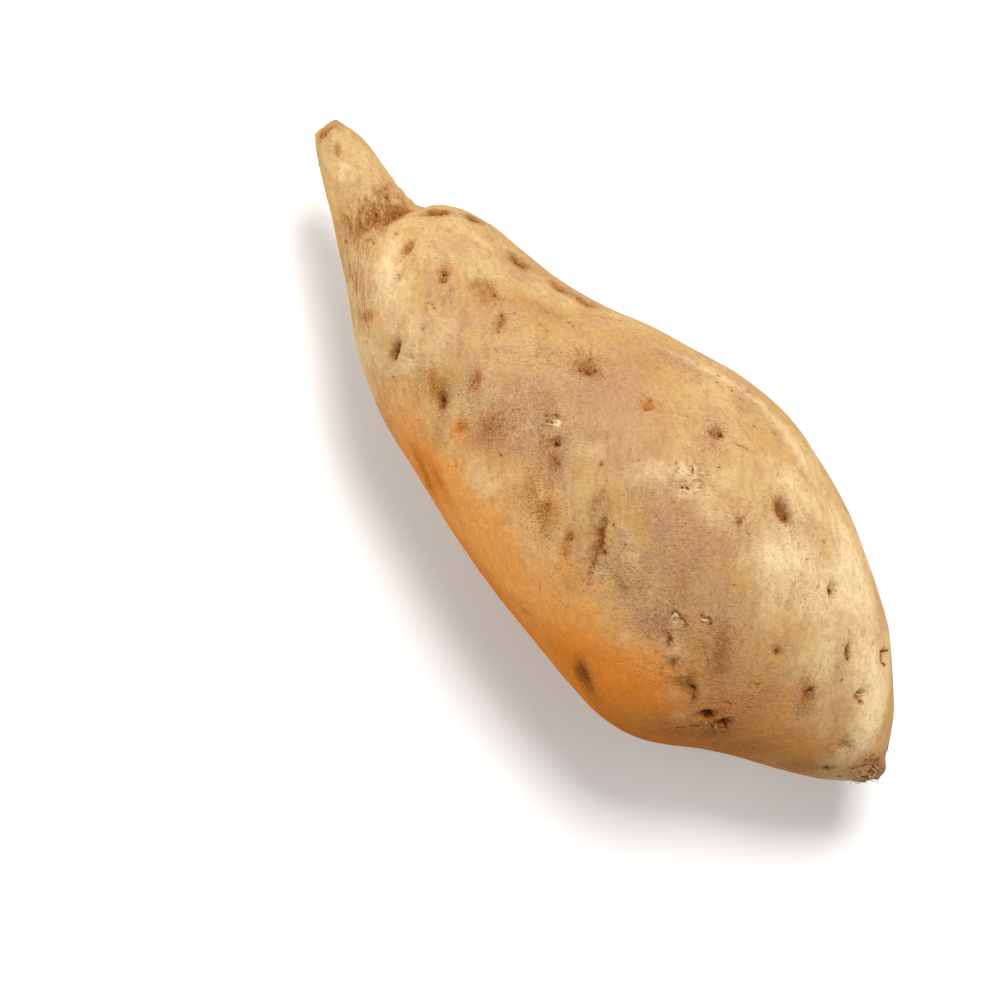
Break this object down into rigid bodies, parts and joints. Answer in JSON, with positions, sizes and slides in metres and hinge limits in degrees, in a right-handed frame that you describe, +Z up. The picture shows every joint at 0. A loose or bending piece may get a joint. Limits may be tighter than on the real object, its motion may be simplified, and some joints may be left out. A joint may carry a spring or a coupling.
{
  "type": "white sweet potato",
  "caption": "Whole white sweet potato as picked: a plump tan storage root with a narrow neck, a creased shoulder, scattered eyes and a knobbly root end, lying on its belly.",
  "frame": {"origin": "the middle of the bounding box in plan, on the surface that the root lies on", "axes": "+X runs along the root from the neck, where the stem was, to the root end; +Y is the side with the sharp shoulder; +Z is up"},
  "size_m": [0.2061, 0.0815, 0.0722],
  "materials": {
    "skin": "satin"
  },
  "bodies": {
    "root": {"storage_root": "skin"}
  },
  "joints": []
}
